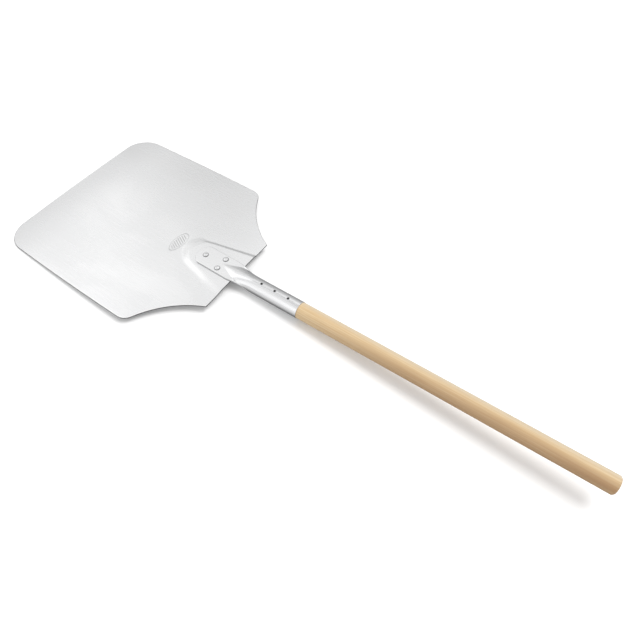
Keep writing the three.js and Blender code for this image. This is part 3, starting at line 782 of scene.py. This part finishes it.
def rivets():
    low = SEAT_TOP - SHEET
    top = TONGUE_TOP
    head, tail = 4.75, 4.2
    for k, (node, (x, u)) in enumerate(RIVETS.items()):
        profile = [(0, low - 1.2), (1.6, low - 1.22), (3.0, low - 1.2), (3.6, low - 1.1), (4.0, low - 0.85), (tail, low - 0.45),
                   (tail - 0.05, low - 0.06), (tail - 0.2, low + 0.02), (2.42, low + 0.04), (2.4, low + 0.2),
                   (2.4, top - 0.2), (2.42, top - 0.05), (head - 0.3, top - 0.02), (head - 0.08, top + 0.03), (head, top + 0.2)]
        for i in range(1, 14):
            a = i / 14 * math.pi / 2
            profile.append((head * math.cos(a) ** 0.8, top + 0.2 + 1.35 * math.sin(a) ** 1.1))
        profile.append((0, top + 1.55))
        lean = 0.7 + 2.1 * k
        verts, faces = lathe(profile, 40, lambda a, z: 0.012 * math.cos(3 * a + lean) + 0.01 * math.cos(2 * a - lean))
        r = np.hypot(verts[:, 0], verts[:, 1])
        # painted shade darkening the outer edge of the head, and of the tail below
        rim = np.where(verts[:, 2] > top - 0.1, smooth((r - 3.6) / 1.0), smooth((r - 3.2) / 1.0))
        # the punch leaves the crown a little flat on one side
        crown = verts[:, 2] > top + 0.9
        verts[crown, 2] -= 0.16 * smooth((verts[crown, 0] * math.cos(lean) + verts[crown, 1] * math.sin(lean)) / 3.0)
        make(f"{node}_skin", verts, faces, LAY @ Matrix.Translation((x, -u, 0)), [node],
             {"rim": rim}, [RIVET_METAL])


def nails():
    for node, u in NAILS.items():
        profile = [(0, -15.0), (0.25, -14.4), (0.85, -12.6), (0.85, -0.3), (0.9, -0.12), (1.5, -0.1), (1.62, -0.02), (1.68, 0.14),
                   (1.64, 0.24), (1.5, 0.33), (1.15, 0.4), (0.7, 0.44), (0.35, 0.455), (0, 0.46)]
        verts, faces = lathe(profile, 28, lambda a, z: 0.02 * math.cos(2 * a + u))
        make(f"{node}_skin", verts, faces, ON_AXIS @ Matrix.Translation((0, -(u - 403.0), TUBE_R - 0.02)), [node],
             None, [NAIL_METAL])


def handle():
    bore = TUBE_R - TUBE_WALL - 0.02
    start = RIM_U - 403.0 + 0.05
    end = HANDLE_END_U - 403.0
    inner = SPIGOT_U + 1.5 - 403.0
    profile = [(0, inner), (bore - 1.6, inner), (bore - 0.6, inner + 0.4), (bore, inner + 1.6), (bore, start - 2.0), (bore, start - 0.1),
               (bore + 0.05, start), (HANDLE_R - 0.7, start + 0.02), (HANDLE_R - 0.35, start + 0.12), (HANDLE_R - 0.1, start + 0.4),
               (HANDLE_R - 0.02, start + 0.9), (HANDLE_R - 0.02, start + 1.6)]
    for h in np.linspace(start + 4, end - END_ROUND - 1.2, 150):
        profile.append((HANDLE_R - 0.02, h))
    profile.append((HANDLE_R - 0.02, end - END_ROUND - 0.4))
    # broken end: a short chamfer with soft corners, then the flat end grain
    for r, h in ((0.02, 3.1), (0.12, 2.75), (0.42, 2.3), (1.25, 1.35), (2.1, 0.52), (2.5, 0.2), (2.95, 0.04), (3.5, 0.0), (5.5, 0.0)):
        profile.append((HANDLE_R - r, end - h))
    profile += [(6.0, end), (3.0, end), (0, end)]

    def uneven(a, h):
        if h < start + 1 or h > end - 1:
            return 0.0
        return -0.0035 + 0.0022 * math.sin(h / 37.0 + 2 * a) + 0.0013 * math.sin(h / 13.0 - 3 * a + 1.0)

    verts, faces = lathe(profile, 96, uneven)
    cut = smooth((verts[:, 2] - (end - 1.5)) / 1.2)
    # lathe axis +Z becomes -Y, towards the end
    turned = np.column_stack([verts[:, 0], -verts[:, 2], verts[:, 1]])
    make("wooden_handle_skin", turned, faces, ON_AXIS, ["wooden_handle"], {"cut": cut}, [WOOD])


blade()
socket()
rivets()
nails()
handle()


# -------------------------------------------------------------------- stage
def floor():
    size, step = 14.0, 28
    verts, faces = [], []
    base = cad_box[0][2]
    for j in range(step + 1):
        for i in range(step + 1):
            verts.append(((i / step - 0.5) * size, (j / step - 0.5) * size, base))
    for j in range(step):
        for i in range(step):
            k = j * (step + 1) + i
            faces.append((k, k + 1, k + step + 2, k + step + 1))
    mesh = bpy.data.meshes.new("studio_floor")
    mesh.from_pydata(verts, [], faces)
    s = Shader("studio_floor_paint")
    c = s.add("ShaderNodeTexCoord")
    n = s.noise(c.outputs["Object"], 3.0, 2.0, 0.5)
    s.set(Base_Color=s.colour(n, rgba(0.90, 0.90, 0.90), rgba(0.91, 0.91, 0.91)), Roughness=1.0)
    s.bsdf.inputs["Specular IOR Level"].default_value = 0.0
    mesh.materials.append(s.material)
    obj = bpy.data.objects.new("studio_floor", mesh)
    obj.visible_glossy = False
    bpy.context.scene.collection.objects.link(obj)


def world():
    """Soft studio dome: bright overhead and to -X, falling off towards +X, a dim far corner, and dark below the
    level of the table."""
    w = bpy.data.worlds.new("studio")
    bpy.context.scene.world = w
    w.use_nodes = True
    t = w.node_tree
    t.nodes.clear()
    out = t.nodes.new("ShaderNodeOutputWorld")
    bg = t.nodes.new("ShaderNodeBackground")
    t.links.new(bg.outputs[0], out.inputs[0])
    coord = t.nodes.new("ShaderNodeTexCoord")

    def ramp(direction, low, high, out_low, out_high, curve="SMOOTHSTEP"):
        dot = t.nodes.new("ShaderNodeVectorMath")
        dot.operation = "DOT_PRODUCT"
        t.links.new(coord.outputs["Generated"], dot.inputs[0])
        dot.inputs[1].default_value = direction
        node = t.nodes.new("ShaderNodeMapRange")
        node.interpolation_type = curve
        t.links.new(dot.outputs["Value"], node.inputs["Value"])
        for key, value in (("From Min", low), ("From Max", high), ("To Min", out_low), ("To Max", out_high)):
            node.inputs[key].default_value = value
        return node.outputs["Result"]

    def times(a, b):
        node = t.nodes.new("ShaderNodeMath")
        node.operation = "MULTIPLY"
        t.links.new(a, node.inputs[0])
        t.links.new(b, node.inputs[1])
        return node.outputs[0]

    total = None
    for args in DOME:
        r = ramp(*args)
        total = r if total is None else times(total, r)
    t.links.new(total, bg.inputs["Strength"])
    bg.inputs["Color"].default_value = (1.0, 1.0, 1.0, 1.0)


# direction, dot product range, strength at its two ends
DOME = [
    ((0.0, 0.0, 1.0), -1.0, 0.38, 0.125, 0.907, "LINEAR"),
    ((1.0, 0.0, 0.0), -0.9, 0.95, 1.14, 0.86, "LINEAR"),
    ((1.0, 0.0, 0.0), 0.25, 0.75, 1.0, 0.84),
    ((0.3, 0.86, 0.41), 0.92, 1.0, 1.0, 0.7),
    ((0.114, 0.834, 0.54), 0.94, 1.0, 1.0, 0.658),
    ((0.249, 0.877, 0.411), 0.94, 1.0, 1.0, 0.845),
    ((0.014, 0.638, 0.77), 0.94, 1.0, 1.0, 1.383),
    ((0.155, 0.717, 0.679), 0.94, 1.0, 1.0, 1.656),
    ((0.293, 0.775, 0.56), 0.94, 1.0, 1.0, 1.108),
    ((0.416, 0.807, 0.418), 0.94, 1.0, 1.0, 1.679),
    ((0.045, 0.482, 0.875), 0.94, 1.0, 1.0, 0.751),
    ((0.189, 0.572, 0.798), 0.94, 1.0, 1.0, 1.198),
    ((0.331, 0.642, 0.692), 0.94, 1.0, 1.0, 0.658),
    ((0.461, 0.688, 0.56), 0.94, 1.0, 1.0, 1.174),
    ((0.209, 0.406, 0.89), 0.94, 1.0, 1.0, 0.740),
    ((0.494, 0.542, 0.679), 0.94, 1.0, 1.0, 0.885),
    ((0.613, 0.577, 0.54), 0.94, 1.0, 1.0, 0.526),
    ((0.366, 0.316, 0.875), 0.94, 1.0, 1.0, 1.065),
    ((0.512, 0.381, 0.77), 0.94, 1.0, 1.0, 1.418),
    ((0.64, 0.423, 0.641), 0.94, 1.0, 1.0, 1.165),
    ((-0.713, 0.423, -0.56), 0.866, 1.0, 1.0, 1.369),
    ((-0.904, 0.417, -0.1), 0.866, 1.0, 1.0, 1.16),
    ((-0.794, 0.417, 0.442), 0.866, 1.0, 1.0, 1.186),
    ((-0.302, 0.418, 0.857), 0.866, 1.0, 1.0, 0.941),
    ((0.622, 0.417, 0.663), 0.866, 1.0, 1.0, 1.386),
    ((0.904, 0.417, 0.1), 0.866, 1.0, 1.0, 0.842),
    ((-0.026, 0.767, 0.641), 0.94, 1.0, 1.0, 1.046),
    ((0.357, 0.485, 0.798), 0.94, 1.0, 1.0, 0.948),
    ((0.197, 0.415, 0.888), 0.866, 1.0, 1.0, 0.96),
]


def area(name, place, aim, size, power, glossy):
    light = bpy.data.lights.new(name, "AREA")
    light.shape = "DISK"
    light.size = size
    light.energy = power
    obj = bpy.data.objects.new(name, light)
    obj.location = place
    obj.rotation_euler = (Vector(aim) - Vector(place)).to_track_quat("-Z", "Y").to_euler()
    obj.visible_camera = False
    obj.visible_glossy = glossy
    bpy.context.scene.collection.objects.link(obj)
    return obj


def camera():
    # the viewing position, in millimetres in the blade frame
    place = Vector((-379.93, -838.14, 698.23))
    right = Vector((0.567133, -0.823626, -0.00118))
    down = Vector((-0.685663, -0.47134, -0.554712))
    ahead = Vector((0.456319, 0.315404, -0.832042))
    turn = Matrix.Rotation(-TILT, 3, "X")
    axes = Matrix((turn @ right, turn @ -down, turn @ -ahead)).transposed()
    cam = bpy.data.cameras.new("camera")
    cam.sensor_width = 36.0
    cam.lens = 29.25
    cam.shift_x, cam.shift_y = -0.00125, 0.00125
    cam.clip_start, cam.clip_end = 0.01, 60.0
    obj = bpy.data.objects.new("camera", cam)
    obj.matrix_world = Matrix.Translation(LAY @ place) @ axes.to_4x4()
    bpy.context.scene.collection.objects.link(obj)
    bpy.context.scene.camera = obj


floor()
world()
area("key", (0.92, -0.8, 2.5), (0.0, -0.1, 0.0), 1.7, 50.0, False)
camera()

bpy.context.scene.view_settings.view_transform = "Standard"
bpy.context.scene.view_settings.look = "None"
bpy.context.scene.view_settings.exposure = 0.0
bpy.context.scene.view_settings.gamma = 1.0
